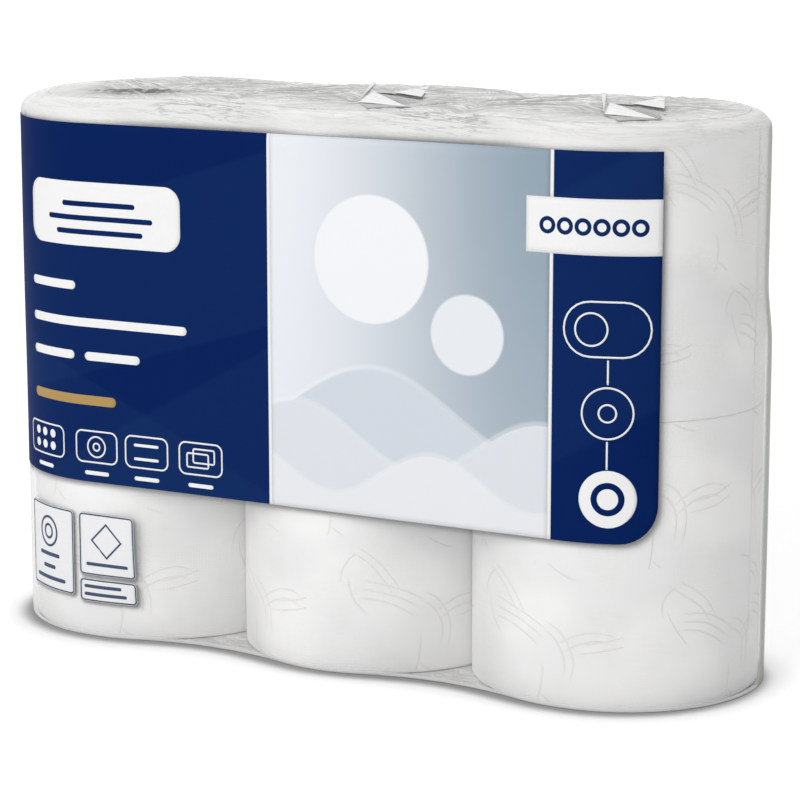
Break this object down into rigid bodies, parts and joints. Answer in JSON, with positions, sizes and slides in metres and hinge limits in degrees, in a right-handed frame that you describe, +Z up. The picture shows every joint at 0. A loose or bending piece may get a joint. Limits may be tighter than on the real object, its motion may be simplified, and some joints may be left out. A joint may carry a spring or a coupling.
{
  "type": "toilet paper roll pack",
  "caption": "Sealed pack of toilet rolls standing on end in a row of stacked columns, drawn up in clear film, with a printed panel round the front and one end.",
  "frame": {"origin": "centre of the pack's base, on the surface it stands on", "axes": "+X along the row of rolls, towards the end the printed panel leaves bare; -Y is the printed front; +Z up, along the rolls' axes"},
  "size_m": [0.2778, 0.0976, 0.1908],
  "materials": {
    "paper": "soft embossed tissue, matt",
    "core_board": "plain grey board",
    "clear_film": "thin clear film, gathered and creased at both ends",
    "label_navy": "navy print, satin",
    "label_picture": "pale blue-grey print, satin",
    "label_white": "white print, satin",
    "badge_white": "white print, satin"
  },
  "bodies": {
    "root": {"roll_left_lower": "paper", "roll_middle_lower": "paper", "roll_right_lower": "paper", "roll_left_upper": "paper", "roll_middle_upper": "paper", "roll_right_upper": "paper", "core_left_lower": "core_board", "core_middle_lower": "core_board", "core_right_lower": "core_board", "core_left_upper": "core_board", "core_middle_upper": "core_board", "core_right_upper": "core_board", "film_wrap": "clear_film", "front_label": "label_navy", "picture_field": "label_picture", "white_print": "label_white", "badge_tall": "badge_white", "badge_square": "badge_white", "badge_strip": "badge_white"}
  },
  "joints": []
}
